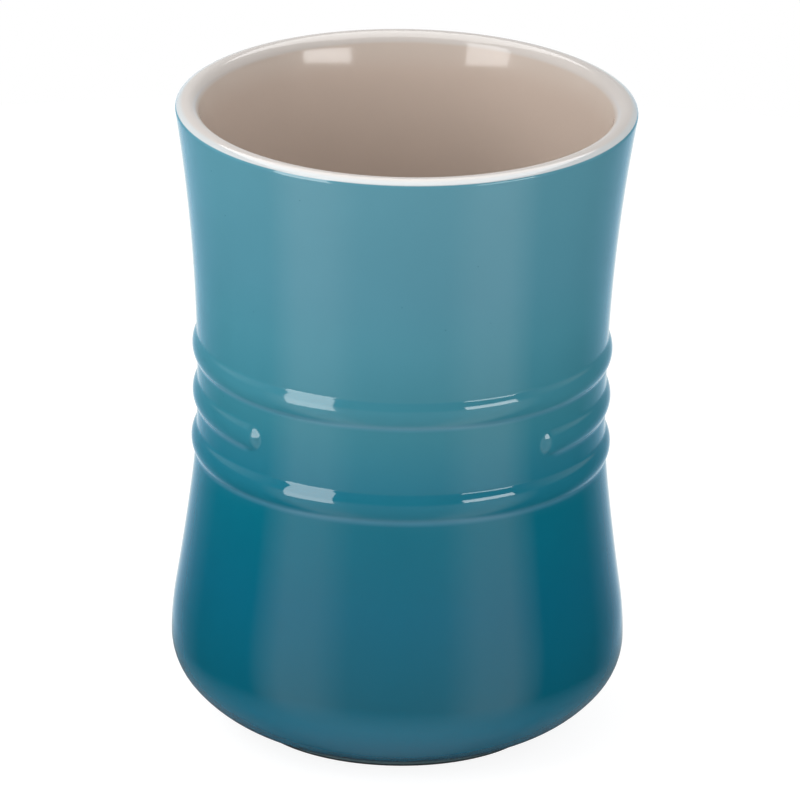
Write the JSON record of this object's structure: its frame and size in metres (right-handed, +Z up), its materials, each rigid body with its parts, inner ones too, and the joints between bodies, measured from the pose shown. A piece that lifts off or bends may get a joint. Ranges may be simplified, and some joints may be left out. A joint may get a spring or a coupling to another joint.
{
  "type": "utensil crock",
  "caption": "Waisted stoneware crock with raised ribs round its waist, graded blue glaze outside and a pale liner, open at the top to hold cooking utensils upright.",
  "frame": {"origin": "centre of the foot ring, on the surface that the crock stands on", "axes": "+Z up along the axis of the pot, -Y towards the front, where the middle rib leaves a bare panel"},
  "size_m": [0.15, 0.15, 0.212],
  "materials": {
    "stoneware": "unglazed, matt",
    "outer_glaze": "gloss, graded from lighter blue above to deep teal below",
    "liner_glaze": "gloss",
    "base_glaze": "gloss"
  },
  "bodies": {
    "root": {"stoneware_body": "stoneware", "outer_glaze": "outer_glaze", "liner_glaze": "liner_glaze", "base_glaze": "base_glaze"}
  },
  "joints": []
}
